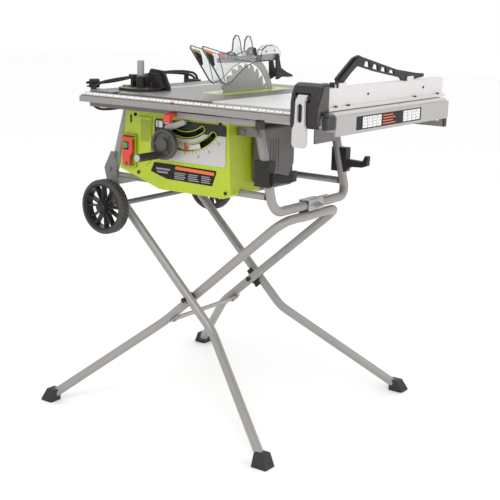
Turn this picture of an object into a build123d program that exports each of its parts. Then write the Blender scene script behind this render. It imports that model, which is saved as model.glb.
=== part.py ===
"""Jobsite table saw on a folding, wheeled stand.

Millimetres. +X is the operator's right, +Y is the rear, +Z is up. The origin is on the floor,
under the middle of the whole machine.
"""
from build123d import *
from math import acos, cos, pi, radians, sin, tan
import os

os.makedirs("parts", exist_ok=True)

# Table
TABLE_TOP = 925.0
SKIN = 10.0
SKIRT_Z = 880.0
TABLE_X0, TABLE_X1 = -349.0, 82.5
TABLE_Y0, TABLE_Y1 = -300.0, 314.0
EXT_X0, EXT_X1 = 84.0, 457.0
SLIDE_R = 8.0
SLIDE_Y = 270.0
SLIDE_Z = 889.0
RAIL_X0, RAIL_X1 = -349.0, 445.0
MITER_X0, MITER_X1 = -262.0, -243.0

# Cutting head
PIVOT_X, PIVOT_Z = -48.0, 922.0
BLADE_Y, BLADE_Z = 28.0, 877.0
BLADE_R = 127.0
BLADE_T = 2.4
ARBOR_R = 7.9
GEAR_TEETH, PINION_TEETH = 44, 11
MODULE = 1.25
PRESSURE = radians(25)
MOTOR_Z = BLADE_Z - MODULE * (GEAR_TEETH + PINION_TEETH) / 2
MOTOR_R = 45.0
POST_Y = -130.0
POST_XS = (-125.0, -61.0)
SCREW_X = -93.0
WHEEL_SHAFT_Z = 794.0
LOCK_X, LOCK_Z = -100.0, 836.0
RING_R0, RING_R1 = 60.0, 92.0

# Arc slots of the front: radius, half width, first and last angle
ARC_SLOTS = ((136.0, 9.0, -20.0, 46.0), (100.5, 7.0, -32.0, 37.0))

# Housing
FRONT_Y = -240.0
SPLIT_Y = -100.0
REAR_Y = 241.0
WALL = 3.0
HOUSING = [(-262, 914.9), (-262, 868), (-285, 705), (-214, 684), (-139, 660), (84, 660),
           (108, 672), (97, 872), (76, 878), (76, 914.9)]

# Stand
TUBE_R = 13.0
TUBE_WALL = 1.6
AXLE_X, AXLE_Z, AXLE_R = -330.0, 587.0, 8.0
CROSS_X, CROSS_Z = -86.0, 335.0
OUTER_Y, INNER_Y, FRAME_Y = 176.0, 147.0, 189.0
FOOT_Y = 374.0
OUTER_FOOT_X, INNER_FOOT_X = 329.0, -442.0
WHEEL_R, WHEEL_W, WHEEL_Y = 80.0, 34.0, 254.0
RIM_R = 68.0
LATCH_X, LATCH_Z = 214.0, 630.0

# Fence and guard
FENCE_X0, FENCE_X1 = 385.0, 440.0
CLIP_YS = (-240.0, 120.0)
GUARD_HINGE_Y, GUARD_HINGE_Z = 60.0, 1016.0
PAWL_Y, PAWL_Z = 178.0, 1018.0

# Cord
CORD_R = 3.8
FIT = 0.05
GAP = 0.3


def block(x0, x1, y0, y1, z0, z1):
    """A box between two corners."""
    return Pos((x0 + x1) / 2, (y0 + y1) / 2, (z0 + z1) / 2) * Box(x1 - x0, y1 - y0, z1 - z0)


def rod(start, end, radius):
    """A round bar between two points."""
    axis = Vector(*end) - Vector(*start)
    return extrude(Plane(origin=start, z_dir=axis) * Circle(radius), amount=axis.length)


def pipe(start, end, radius=TUBE_R, wall=TUBE_WALL):
    """A straight tube between two points."""
    axis = Vector(*end) - Vector(*start)
    ring = Circle(radius) - Circle(radius - wall)
    return extrude(Plane(origin=start, z_dir=axis) * ring, amount=axis.length)


def bent_tube(points, bend):
    """A tube that follows straight runs joined by bends."""
    path = FilletPolyline(*points, radius=bend)
    ring = Circle(TUBE_R) - Circle(TUBE_R - TUBE_WALL)
    return sweep(Plane(origin=path @ 0, z_dir=path % 0) * ring, path=path)


def outline(points):
    """A flat face inside a closed run of points."""
    return make_face(Polyline(*points, close=True))


def disc(u, v, radius):
    """A round face centred in a working plane."""
    return Pos(u, v) * Circle(radius)


def rect(u0, u1, v0, v1):
    """A rectangle in a working plane."""
    return Pos((u0 + u1) / 2, (v0 + v1) / 2) * Rectangle(u1 - u0, v1 - v0)


def across(face, y0, y1):
    """A face drawn as (X, Z), made solid from y0 to y1."""
    plane = Plane(origin=(0, y1, 0), x_dir=(1, 0, 0), z_dir=(0, -1, 0))
    return extrude(plane * face, amount=y1 - y0)


def along(face, x0, x1):
    """A face drawn as (Y, Z), made solid from x0 to x1."""
    plane = Plane(origin=(x0, 0, 0), x_dir=(0, 1, 0), z_dir=(1, 0, 0))
    return extrude(plane * face, amount=x1 - x0)


def upward(face, z0, z1):
    """A face drawn as (X, Y), made solid from z0 to z1."""
    return extrude(Plane.XY.offset(z0) * face, amount=z1 - z0)


def save(name, *pieces):
    """Write one node, which may hold several separate pieces."""
    shape = pieces[0] if len(pieces) == 1 else Compound(children=list(pieces))
    export_step(shape, f"parts/{name}.step")


def sector(r0, r1, a0, a1):
    """Part of a ring about the bevel pivot; angles run from straight down, plus to the right."""
    def at(radius, angle):
        turn = radians(angle)
        return (PIVOT_X + radius * sin(turn), PIVOT_Z - radius * cos(turn))
    middle = (a0 + a1) / 2
    edges = [ThreePointArc(at(r1, a0), at(r1, middle), at(r1, a1)), Line(at(r1, a1), at(r0, a1)),
             ThreePointArc(at(r0, a1), at(r0, middle), at(r0, a0)), Line(at(r0, a0), at(r1, a0))]
    return make_face(Wire(edges))


def arc_slots(grow=0.0):
    """The two arc slots of the front, with rounded ends; `grow` widens them all round."""
    face = Sketch()
    for radius, half, a0, a1 in ARC_SLOTS:
        face += sector(radius - half - grow, radius + half + grow, a0, a1)
        for angle in (radians(a0), radians(a1)):
            face += disc(PIVOT_X + radius * sin(angle), PIVOT_Z - radius * cos(angle), half + grow)
    return face


# ---------------------------------------------------------------- table

def main_table():
    """Cast table with a skirt, miter slot, blade opening and guides for the sliding rails."""
    body = block(TABLE_X0, TABLE_X1, TABLE_Y0, TABLE_Y1, SKIRT_Z, TABLE_TOP)
    body = fillet(body.edges().filter_by(Axis.Z), 6)
    body = chamfer(body.faces().sort_by(Axis.Z)[-1].edges(), 1.2)
    body -= block(TABLE_X0 + 5, TABLE_X1 - 5, TABLE_Y0 + 5, TABLE_Y1 - 5, SKIRT_Z - 1, TABLE_TOP - SKIN)
    body += block(MITER_X0 - 8, MITER_X1 + 8, TABLE_Y0 + 2, TABLE_Y1 - 2, 903, TABLE_TOP - SKIN)
    body -= block(MITER_X0, MITER_X1, TABLE_Y0 - 1, TABLE_Y1 + 1, 915.5, TABLE_TOP + 1)
    body -= block(-96.3, 0.3, -112.3, 222.3, 920, TABLE_TOP + 1)
    body -= block(-90, -6, -106, 216, 900, 921)
    for side in (-1, 1):
        y = side * SLIDE_Y
        for x in (20, 58):
            body += block(x, x + 19.5, y - 14, y + 14, SKIRT_Z + 0.5, TABLE_TOP - SKIN)
        body -= rod((15, y, SLIDE_Z), (100, y, SLIDE_Z), SLIDE_R + FIT)
    for x in (-320, -150, 40):
        body += block(x, x + 24, -310.6, TABLE_Y0 + 2, 898, 912)
    return body


def throat_plate():
    """Drop-in plate round the blade."""
    plate = block(-96, 0, -112, 222, 920, TABLE_TOP)
    plate = fillet(plate.edges().filter_by(Axis.Z), 10)
    plate -= block(-54.5, -41.5, -96, 195, 919, TABLE_TOP + 1)
    for y in (-100, 208):
        plate -= Pos(-82, y, 923) * Cylinder(3.5, 6)
    return plate


def extension_table():
    """Sliding right-hand table."""
    body = block(EXT_X0, EXT_X1, TABLE_Y0, TABLE_Y1, 905, TABLE_TOP)
    body = fillet(body.edges().filter_by(Axis.Z), 4)
    body = chamfer(body.faces().sort_by(Axis.Z)[-1].edges(), 1.2)
    body -= block(EXT_X0 + 4, EXT_X1 - 4, TABLE_Y0 + 4, TABLE_Y1 - 4, 900, 919)
    for side in (-1, 1):
        y = side * SLIDE_Y
        for x in (90, 425):
            body += block(x, x + 24, y - 15, y + 15, 876, 919.5)
        body -= rod((85, y, SLIDE_Z), (450, y, SLIDE_Z), SLIDE_R)
    for x in (140, 240, 340):
        body += block(x, x + 4, TABLE_Y0 + 3, TABLE_Y1 - 3, 907, 919.5)
    for y in (-150, 0, 150):
        body += block(EXT_X0 + 3, EXT_X1 - 3, y, y + 4, 907, 919.5)
    return body


def slide_tubes():
    """Two tubes under the tables that carry the extension."""
    return [pipe((-288, side * SLIDE_Y, SLIDE_Z), (449, side * SLIDE_Y, SLIDE_Z), SLIDE_R, 2)
            for side in (-1, 1)]


def side_skirt():
    """Sheet-metal plate on the right edge, with a returned lip."""
    plate = block(457, 462, TABLE_Y0, 318, 868, 917)
    plate = fillet(plate.edges().filter_by(Axis.X), 4)
    return plate - block(456, 459.5, TABLE_Y0 + 4, 314, 871, 904.5)


def front_rail():
    """Front fence rail: upright face, slanted top for the ruler, and a T slot below."""
    face = outline([(-339, 896), (-339, 911), (-311, 921), (-311, 896), (-317, 896), (-317, 900),
                    (-333, 900), (-333, 896)])
    rail = along(face, RAIL_X0, RAIL_X1)
    rail -= along(outline([(-335, 903), (-335, 909), (-315, 916), (-315, 903)]), RAIL_X0 - 1, RAIL_X1 + 1)
    for x in (95, 420):
        rail += block(x, x + 20, -311.5, TABLE_Y0, 906, 915)
    return rail


def ruler_strip():
    """Ruler set in the slanted top of the front rail."""
    face = outline([(-334.4, 913.45), (-334.9, 914.85), (-316.1, 921.55), (-315.6, 920.15)])
    return along(face, RAIL_X0 + 3, RAIL_X1 - 40)


def rear_rail():
    """Plain rear fence rail."""
    rail = along(outline([(322, 890), (345, 890), (345, 906), (339, 912), (322, 912)]), RAIL_X0, RAIL_X1)
    rail -= along(rect(326, 341, 894, 905), RAIL_X0 - 1, RAIL_X1 + 1)
    for x in (95, 420):
        rail += block(x, x + 20, TABLE_Y1, 322.5, 906, 911.5)
    return rail


def rail_ends():
    """End block of the front rail, and the carrying beam at the rear right corner."""
    cap = along(outline([(-340, 886), (-340, 912), (-334, 921), (-306, 921), (-306, 886)]), 445.2, 462)
    beam = block(337, 450, 322, 338, 841, 856) + block(432, 450, 322, 338, 856, 889.9)
    return [cap, beam]


def lower_guide_rail():
    """Fixed lower rail that the sliding rail runs over, with its end bracket and lever ears."""
    rail = block(-10, 245, -325, -310, 876, 891) - block(-11, 236, -322, -313, 879, 888)
    rail += block(-8, 70, -310.5, TABLE_Y0, 881, 890)
    for x in (-38.5, -13.2):
        rail += block(x, x + 3.7, -323, TABLE_Y0, 880, 890)
    rail += block(-35, -10, -306, TABLE_Y0, 880, 890)
    rail -= rod((-36.6, -318, 885), (-10.5, -318, 885), 2.0)
    bracket = block(245, 257, -330, -306, 868, 893)
    return rail, fillet(bracket.edges().filter_by(Axis.X), 4)


def rail_lock_lever():
    """Cam lever that locks the sliding rails, hinged under the front rail."""
    lever = along(outline([(-352, 864), (-352, 884), (-338, 888), (-324, 890), (-316, 890), (-312.5, 885),
                           (-316, 880), (-330, 879), (-340, 876), (-342, 864)]), -34.4, -13.6)
    return lever + rod((-36.4, -318, 885), (-10.9, -318, 885), 1.9)


# ---------------------------------------------------------------- housing

def housing_shell(y0, y1, closed):
    """Run of the housing between two depths; its `closed` end has a wall."""
    outer = across(outline(HOUSING), y0, y1)
    inner = offset(outline(HOUSING), amount=-WALL, kind=Kind.INTERSECTION)
    cut0 = y0 + WALL if closed == "front" else y0 - 1
    cut1 = y1 - WALL if closed == "rear" else y1 + 1
    shell = outer - across(inner, cut0, cut1)
    shell -= block(-259, 73, cut0, cut1, 880, 930)
    shell -= block(MITER_X0 - 9, MITER_X1 + 9, y0 - 1, y1 + 1, 902.5, 930)
    for side in (-1, 1):
        shell -= rod((-300, side * FRAME_Y, 672), (200, side * FRAME_Y, 672), 11)
    return shell


def front_housing():
    """Moulded front of the body with its arc slots, switch recess and raised fascia."""
    body = housing_shell(FRONT_Y, SPLIT_Y, "front")
    fascia = outline([(-214, 858), (-208, 735), (-188, 722), (-170, 735), (-166, 858)])
    body += across(fascia, -243.5, FRONT_Y)
    body -= across(rect(-205, -175, 832, 838), -250, -236)
    body -= across(arc_slots(), -250, -230)
    body -= across(rect(-266, -226, 718, 800), -250, -230)
    return body


def rear_housing():
    """Dark rear body, open on the right where the tilted motor and blade swing."""
    body = housing_shell(SPLIT_Y, REAR_Y, "rear")
    keep = outline([(-300, SPLIT_Y - 1), (112, SPLIT_Y - 1), (112, 50), (-8, 236), (-8, 245), (-300, 245)])
    body = body & upward(keep, 640, 930)
    body -= rod((-300, 150, 760), (-250, 150, 760), 9)
    for z in (740, 752, 764, 776, 788, 800):
        body -= block(-240, -120, REAR_Y - 10, REAR_Y + 5, z, z + 5)
    return body


def side_cover():
    """Rounded box on the right side, with panel grooves."""
    face = outline([(-140, 695), (-140, 845), (20, 845), (20, 735), (-14, 695)])
    cover = along(face, 108.5, 140)
    cover = fillet(cover.edges().filter_by(Axis.X), 10)
    cover = chamfer(cover.faces().sort_by(Axis.X)[-1].edges(), 4)
    cover -= along(offset(face, amount=-WALL - 3, kind=Kind.INTERSECTION), 108, 136)
    for y in (-105, -92, -79, -66):
        cover -= block(138.5, 141, y, y + 5, 725, 815)
    cover += block(96, 109, -120, -112, 720, 830) + block(96, 109, 0, 8, 740, 830)
    return cover - across(outline(HOUSING), -130, 20)


def control_panel():
    """Instrument plate round the arc slots."""
    plate = across(rect(-156, 90, 745, 857), -242.5, FRONT_Y)
    plate = fillet(plate.edges().filter_by(Axis.Y), 8)
    return plate - across(arc_slots(), -250, -230)


def slot_trims():
    """Raised edges round the two arc slots."""
    return across(arc_slots(2.4) - arc_slots(), -245, -242.5)


def switch_bezel():
    """Frame round the switch."""
    frame = across(rect(-272, -220, 712, 806), -247, FRONT_Y)
    frame = fillet(frame.edges().filter_by(Axis.Y), 6)
    frame -= across(rect(-267, -225, 717, 801), -250, -239)
    frame += block(-266, -226, -240.1, -237, 718, 800) - block(-256.6, -241.4, -245, -230, 766.4, 783.6)
    for x in (-267.5, -226.5):
        frame += block(x, x + 2, -253, FRONT_Y, 792, 799)
    return frame - rod((-266.6, -249.5, 795.5), (-225.4, -249.5, 795.5), 1.5)


def switch_paddle():
    """Red stop paddle, hinged at its top edge, with two prongs below."""
    face = outline([(-265, 799), (-265, 752), (-262, 730), (-260, 718), (-252, 718), (-251, 727), (-245, 727),
                    (-244, 718), (-237, 718), (-236, 746), (-227, 756), (-227, 799)])
    paddle = across(face, -256, -248)
    paddle = chamfer(paddle.faces().sort_by(Axis.Y)[0].edges(), 1.5)
    paddle -= block(-258.5, -239.5, -260, -240, 762, 785)
    return paddle + rod((-266.3, -249.5, 795.5), (-225.7, -249.5, 795.5), 1.4)


def start_button():
    """Green start button in the window of the paddle."""
    button = across(rect(-256, -242, 767, 783), -259, -236)
    return fillet(button.edges().filter_by(Axis.Y), 3)


# ---------------------------------------------------------------- cutting head

def trunnion(y0, y1):
    """Half-ring bracket under the table that the tilting carriage hangs on."""
    ring = across(sector(RING_R0, RING_R1, -88, 88) & rect(-200, 100, 800, 914.9), y0, y1)
    for x in (PIVOT_X - 100, PIVOT_X + 56):
        ring += block(x, x + 44, y0 - 6, y1 + 2.9, 907, 914.9)
    return ring


def bevel_carriage():
    """Tilting frame: two sector plates with their arc tongues, a beam and the post seats."""
    plates = across(sector(55, 150, -50, 20) + sector(55, 115, 19, 30), -195, -189)
    plates += across(sector(55, 140, -50, 20) + sector(55, 115, 19, 30), 198, 201.7)
    plates += across(sector(RING_R1 + GAP, 95.5, -50, 30), -214, -194)
    plates += across(sector(RING_R1 + GAP, 95.5, -50, 30), 201, 234)
    plates += block(-18, 2, -190, 199, 790, 815)
    plates += block(-137, -49, -190, -118, 795, 806)
    plates -= rod((SCREW_X, -200, WHEEL_SHAFT_Z), (SCREW_X, -180, WHEEL_SHAFT_Z), 6 + FIT)
    plates -= block(-107, -79, -188.9, -100, 780, 806.1)
    plates -= rod((LOCK_X, -215, LOCK_Z), (LOCK_X, -180, LOCK_Z), 4 + FIT)
    return plates


def lift_posts():
    """Two guide posts and the plate that ties their tops."""
    posts = [rod((x, POST_Y, 806), (x, POST_Y, 905), 6) for x in POST_XS]
    tie = block(-134, -52, -138, -122, 905, 911)
    tie -= rod((SCREW_X, POST_Y, 900), (SCREW_X, POST_Y, 915), 5 + FIT)
    return posts + [tie]


def lift_screw():
    """Threaded lift screw with its bevel gear at the bottom."""
    screw = rod((SCREW_X, POST_Y, 796), (SCREW_X, POST_Y, 910.5), 5)
    for step in range(30):
        screw += Pos(SCREW_X, POST_Y, 811 + 2.6 * step) * Cylinder(5.9, 1.2)
    return screw + Pos(SCREW_X, POST_Y, 801.5) * Cone(9.5, 6, 5)


def lift_bracket():
    """Bracket on the posts, joined to the gear case."""
    plate = block(-137, -50, -145, -113.5, 890, 904) + block(-137, -67, -114, 2, 890, 904)
    for x in POST_XS:
        plate -= rod((x, POST_Y, 880), (x, POST_Y, 910), 6 + FIT)
    plate -= rod((SCREW_X, POST_Y, 880), (SCREW_X, POST_Y, 910), 5.9 + FIT)
    plate -= along(disc(BLADE_Y, BLADE_Z, 33), -130, -60)
    return plate


def gear_case():
    """Case round the reduction gears, with the arbor and motor shaft bores."""
    def profile(grow):
        tall = disc(BLADE_Y, BLADE_Z, 30 + grow) + disc(BLADE_Y, MOTOR_Z, 11 + grow)
        return tall + rect(BLADE_Y - 11 - grow, BLADE_Y + 11 + grow, MOTOR_Z, BLADE_Z)
    case = along(profile(3), -125, -66.5) - along(profile(0), -119, -74)
    case -= along(disc(BLADE_Y, BLADE_Z, ARBOR_R + FIT), -126, -60)
    case -= along(disc(BLADE_Y, MOTOR_Z, 5 + FIT), -126, -118)
    foot = block(-125, -67, BLADE_Y - 26, BLADE_Y - 10, 889, 904)
    case += foot - along(disc(BLADE_Y, BLADE_Z, 33), -130, -60)
    return case


def gear_outline(teeth, first):
    """Involute gear outline about its own centre; one tooth is centred on the angle `first`."""
    pitch = teeth * MODULE / 2
    base = pitch * cos(PRESSURE)
    tip = pitch + 0.85 * MODULE
    root = pitch - 1.1 * MODULE
    low = max(base, root + 0.05)
    half_pitch = pi / (2 * teeth) - 0.06 / pitch + tan(PRESSURE) - PRESSURE
    points = []
    for tooth in range(teeth):
        middle = radians(first) + 2 * pi * tooth / teeth
        flank = []
        for step in range(4):
            radius = low + (tip - low) * step / 3
            roll = acos(min(1.0, base / radius))
            flank.append((radius, half_pitch - tan(roll) + roll))
        side = [(root, half_pitch)] + flank
        for radius, half in side:
            points.append((radius * cos(middle - half), radius * sin(middle - half)))
        for radius, half in reversed(side):
            points.append((radius * cos(middle + half), radius * sin(middle + half)))
    return outline(points)


def arbor():
    """Blade shaft with its fixed flange."""
    shaft = along(disc(BLADE_Y, BLADE_Z, ARBOR_R), -123, -33)
    return shaft + along(disc(BLADE_Y, BLADE_Z, 22), -56, PIVOT_X - BLADE_T / 2)


def arbor_gear():
    """Large reduction gear on the arbor."""
    wheel = along(Pos(BLADE_Y, BLADE_Z) * gear_outline(GEAR_TEETH, -90), -112, -98)
    return wheel - along(disc(BLADE_Y, BLADE_Z, ARBOR_R), -115, -90)


def flange_and_nut():
    """Loose outer flange and the arbor nut."""
    flange = along(disc(BLADE_Y, BLADE_Z, 22) - disc(BLADE_Y, BLADE_Z, ARBOR_R), PIVOT_X + BLADE_T / 2, -42)
    nut = along(Pos(BLADE_Y, BLADE_Z) * RegularPolygon(13, 6) - disc(BLADE_Y, BLADE_Z, ARBOR_R), -42, -35)
    return [flange, nut]


def saw_blade():
    """Toothed blade with expansion slots."""
    count = 24
    points = []
    for tooth in range(count):
        for turn, radius in ((0, BLADE_R), (0.5, 114), (3.5, 112), (6, 119), (10.5, 125)):
            angle = radians(turn + 360 * tooth / count)
            points.append((-radius * sin(angle), radius * cos(angle)))
    face = outline(points) - Circle(ARBOR_R)
    for turn in range(4):
        face -= Rot(0, 0, 45 + 90 * turn) * Pos(98, 0) * Rectangle(32, 1.6)
    return along(Pos(BLADE_Y, BLADE_Z) * face, PIVOT_X - BLADE_T / 2, PIVOT_X + BLADE_T / 2)


def blade_shroud():
    """Chip case round the lower blade, with the clamp of the riving knife at its rear."""
    case = along(disc(BLADE_Y, BLADE_Z, 138), -64, -34) - along(disc(BLADE_Y, BLADE_Z, 132), -61.5, -36.5)
    case -= along(disc(BLADE_Y, BLADE_Z, 26), -65, -60) + along(disc(BLADE_Y, BLADE_Z, 40), -40, -30)
    case += along(disc(BLADE_Y, BLADE_Z, 32) - disc(BLADE_Y, BLADE_Z, 26), -66.5, -61.5)
    case += block(-60, -38, 161, 188, 838, 866)
    case -= block(-80, -20, -120, 200, 892, 1020) + block(-80, -20, -40, 100, 730, 743.4)
    return case - block(-49.15, -46.85, 158, 184, 844, 900)


def riving_knife():
    """Curved plate behind the blade."""
    ring = disc(BLADE_Y, BLADE_Z, 155) - disc(BLADE_Y, BLADE_Z, 131)
    reach = outline([(160, 846), (183.9, 846), (190, 900), (160, 1011), (72, 1011), (72, 940), (158.2, 880)])
    return along(ring & reach, -49.1, -46.9)


def motor_housing():
    """Motor case with cooling slots and end caps."""
    case = along(disc(BLADE_Y, MOTOR_Z, MOTOR_R), -250, -130)
    case = chamfer(case.faces().sort_by(Axis.X)[0].edges(), 6)
    case -= along(disc(BLADE_Y, MOTOR_Z, MOTOR_R - 4), -244, -134)
    case += along(disc(BLADE_Y, MOTOR_Z, 16), -130, -125)
    case -= along(disc(BLADE_Y, MOTOR_Z, 5 + FIT), -260, -120)
    for turn in range(12):
        slot = Rot(30 * turn, 0, 0) * Pos(0, 0, MOTOR_R) * Box(30, 5, 20)
        case -= Pos(-225, BLADE_Y, MOTOR_Z) * slot
    return case


def armature():
    """Motor shaft with its lamination stack and commutator."""
    shaft = along(disc(BLADE_Y, MOTOR_Z, 5), -248, -98)
    shaft += along(disc(BLADE_Y, MOTOR_Z, 27), -215, -160) + along(disc(BLADE_Y, MOTOR_Z, 13), -240, -222)
    return shaft


def motor_pinion():
    """Small gear on the end of the motor shaft."""
    first = 90 + 180 / PINION_TEETH
    face = Pos(BLADE_Y, MOTOR_Z) * gear_outline(PINION_TEETH, first) - disc(BLADE_Y, MOTOR_Z, 5)
    return along(face, -118, -98)


def bevel_pointer():
    """Red pointer carried by the tilting frame, seen through the upper slot."""
    blade = across(outline([(-46, 800), (-40, 800), (-43, 768)]), -248.5, -246.2)
    return blade + rod((-43, -246.5, 786), (-43, -195, 786), 2.5)


def bevel_lock_lever():
    """Silver clamp lever of the bevel, on a bolt through the upper slot."""
    face = disc(LOCK_X, LOCK_Z, 9) + outline([(-103, 844.5), (-97, 827.5), (-42, 849), (-46, 862)])
    lever = across(face + disc(-44, 855.5, 6.8), -256, -247)
    return lever + rod((LOCK_X, -248, LOCK_Z), (LOCK_X, -186, LOCK_Z), 4)


def handwheel():
    """Height handwheel, its shaft and bevel gear."""
    rim = across(disc(SCREW_X, WHEEL_SHAFT_Z, 43) - disc(SCREW_X, WHEEL_SHAFT_Z, 33), -284, -268)
    rim = fillet(rim.edges(), 4)
    hub = across(disc(SCREW_X, WHEEL_SHAFT_Z, 17), -288, -262)
    hub += across(disc(SCREW_X, WHEEL_SHAFT_Z, 34), -277, -271)
    for turn in range(3):
        web = Rot(0, 60 + 120 * turn, 0) * Pos(24, 0, 0) * Box(22, 10, 9)
        hub += Pos(SCREW_X, -275, WHEEL_SHAFT_Z) * web
    shaft = rod((SCREW_X, -264, WHEEL_SHAFT_Z), (SCREW_X, -150, WHEEL_SHAFT_Z), 6)
    gear = across(disc(SCREW_X, WHEEL_SHAFT_Z, 9), -152, -141)
    boss = rod((-107, -284, 764), (-107, -289, 764), 9) + rod((-107, -288, 764), (-107, -371, 764), 4)
    return rim + hub + shaft + gear + boss


def crank_grip():
    """Freely turning grip on the handwheel, and its end cap."""
    grip = rod((-107, -289.5, 764), (-107, -370, 764), 11)
    grip = fillet(grip.edges(), 2.5)
    for y in range(-360, -295, 12):
        grip -= across(disc(-107, 764, 12) - disc(-107, 764, 10.3), y, y + 3)
    return grip - rod((-107, -289, 764), (-107, -372, 764), 4 + FIT)


def grip_cap():
    """End cap of the grip."""
    cap = rod((-107, -371, 764), (-107, -375, 764), 9.5)
    return chamfer(cap.faces().sort_by(Axis.Y)[0].edges(), 1.5)


# ---------------------------------------------------------------- guard

def guard_arm():
    """Arm on top of the riving knife that carries the barriers, knob and pawls."""
    edge = [(-98, 1010), (-98, 1022), (40, 1026), (120, 1026), (196, 1028), (200, 1016), (180, 1008), (120, 1006),
            (40, 1006)]
    arm = along(outline(edge), -54, -42)
    arm -= block(-49.1, -46.9, 66, 116, 1000, 1011)
    arm -= rod((-60, PAWL_Y, PAWL_Z), (-30, PAWL_Y, PAWL_Z), 3 + FIT)
    return arm + rod((-71, GUARD_HINGE_Y, GUARD_HINGE_Z), (-25, GUARD_HINGE_Y, GUARD_HINGE_Z), 3)


def guard_knob():
    """Red release knob on the arm."""
    knob = Pos(PIVOT_X, -80, 1030.6) * Cylinder(9, 15)
    return fillet(knob.edges(), 2)


def barrier(side):
    """Clear side barrier with an upright lobe and a raised front lip."""
    edge = [(68, 1010), (68, 1022), (44, 1030), (34, 1066), (24, 1082), (10, 1084), (-2, 1072), (-6, 1040),
            (-60, 1030), (-150, 1050), (-196, 1060), (-200, 1052), (-150, 1000), (-110, 958), (-90, 949.6),
            (-60, 956), (0, 992), (44, 1006)]
    x0 = PIVOT_X + side * 20.5 - 1.5
    plate = along(outline(edge), x0, x0 + 3)
    plate = fillet(plate.edges().filter_by(Axis.X), 3)
    return plate - rod((x0 - 5, GUARD_HINGE_Y, GUARD_HINGE_Z), (x0 + 8, GUARD_HINGE_Y, GUARD_HINGE_Z), 3 + FIT)


def anti_kickback_pawls():
    """Two toothed pawls on one pin."""
    edge = [(176, 1026), (184, 1026), (190, 1012), (200, 985), (230, 972), (262, 962), (266, 956), (240, 956),
            (205, 958), (184, 951), (176, 952), (174, 985), (172, 1012)]
    pair = rod((-63, PAWL_Y, PAWL_Z), (-33, PAWL_Y, PAWL_Z), 3)
    for x0 in (-62, -38):
        pair += along(outline(edge), x0, x0 + 4)
    return pair


# ---------------------------------------------------------------- fence and miter gauge

def fence_beam():
    """Extruded fence with a base flange, screw bosses and clips for the push stick."""
    beam = along(rect(-300, 338, 934, 980), 396, 430) - along(rect(-301, 339, 938, 976), 400, 426)
    beam += block(FENCE_X0, FENCE_X1, -300, 338, 927, 934.5)
    for y in CLIP_YS:
        beam += block(416.5, 420, y, y + 34, 979.5, 992) + block(427, 430, y, y + 34, 979.5, 992)
    return beam


def fence_head():
    """Clamp head of the fence, curved on top, over the front rail."""
    edge = [(-352, 888), (-352, 948), (-347, 970), (-336, 988), (-322, 994), (-300, 994), (-300, 924.5),
            (-341.5, 924.5), (-341.5, 888)]
    head = along(outline(edge), 362, 438)
    head -= block(371, 417, -360, -338, 950, 972)
    return fillet(head.edges().filter_by(Axis.X).group_by(Axis.Z)[-1], 4)


def fence_pin():
    """Hinge pin of the fence lever."""
    return rod((366, -346, 961), (422, -346, 961), 3)


def fence_side_plate():
    """Cover plate on the right of the head, narrower at its top."""
    edge = [(-350, 936), (-326, 988), (-304, 988), (-304, 930), (-342, 930), (-342, 895), (-350, 895)]
    return along(outline(edge), 438, 441)


def fence_lever():
    """Clamp lever with a finger slot near its top."""
    face = outline([(374, 850), (378, 841), (410, 841), (414, 850), (414, 884), (408, 898), (406.5, 956),
                    (381.5, 956), (380, 898), (374, 884)])
    plate = across(face, -361, -353.5)
    plate = fillet(plate.edges().filter_by(Axis.Y), 4)
    plate -= across(rect(387, 401, 908, 940) + disc(394, 940, 7) + disc(394, 908, 7), -365, -350)
    eye = outline([(-361, 951.5), (-353.3, 951.5), (-340, 958), (-346, 967), (-361, 956)])
    plate += along(disc(-346, 961, 6.5) + eye, 381.5, 406.5)
    return plate - rod((370, -346, 961), (420, -346, 961), 3 + FIT)


def fence_knobs():
    """Two knobs on top of the beam and four flange screws."""
    pieces = [Pos(407, y, 986) * Cylinder(8, 12) for y in (-270, -235)]
    pieces += [Pos(435, y, 936.5) * Cylinder(4, 4) for y in (-260, -200, 160, 300)]
    return pieces


def push_stick():
    """Push stick standing in the clips of the fence: sloping handle, windowed arm and flat foot."""
    edge = [(-246, 990), (-248, 1004), (-168, 1052), (-146, 1057), (-128, 1052), (60, 1013), (176, 999),
            (222, 996), (222, 987), (150, 982), (96, 982), (82, 991), (-60, 1013), (-126, 1026), (-146, 1030),
            (-166, 1024), (-224, 984)]
    stick = along(outline(edge), 420.4, 426.6)
    stick = fillet(stick.edges().filter_by(Axis.X), 2.5)
    for y0, low, high in ((-116, 1028.5, 1044), (-72, 1020.5, 1035), (-28, 1013, 1026), (18, 1006.5, 1017)):
        window = outline([(y0, low), (y0 + 32, low - 5.4), (y0 + 28, high - 6.5), (y0 + 6, high - 2)])
        stick -= along(window, 415, 430)
    return stick + along(rect(-236, -222, 980.3, 992), 420.4, 426.6)


def miter_bar():
    """Steel bar that slides in the table slot."""
    bar = block(MITER_X0 + GAP, MITER_X1 - GAP, -270, 180, 915.9, TABLE_TOP)
    return bar - Pos(-252.5, -190, 920) * Cylinder(4 + FIT, 30)


def miter_head():
    """Swivelling head with its protractor plate and upright face."""
    plate = upward(disc(-252.5, -190, 62) & rect(-340, -160, -245, -146), 925.6, 933)
    face = across(outline([(-327, 925.6), (-327, 958), (-321, 964), (-262, 964), (-252, 984), (-206, 980),
                           (-184, 934), (-184, 925.6)]), -148, -138)
    face += across(outline([(-250, 932), (-244, 974), (-210, 971), (-193, 932)]), -166, -147)
    boss = Pos(-252.5, -190, 948) * Cylinder(12, 30)
    ribs = block(-290, -286, -186, -146, 932, 950) + block(-219, -215, -186, -146, 932, 950)
    head = plate + face + boss + ribs
    return head - Pos(-252.5, -190, 940) * Cylinder(4 + FIT, 60)


def miter_pointer():
    """Lime cursor at the left end of the miter face."""
    return upward(outline([(-327, -148), (-327, -156), (-306, -160), (-298, -148)]), 956, 964)


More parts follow.
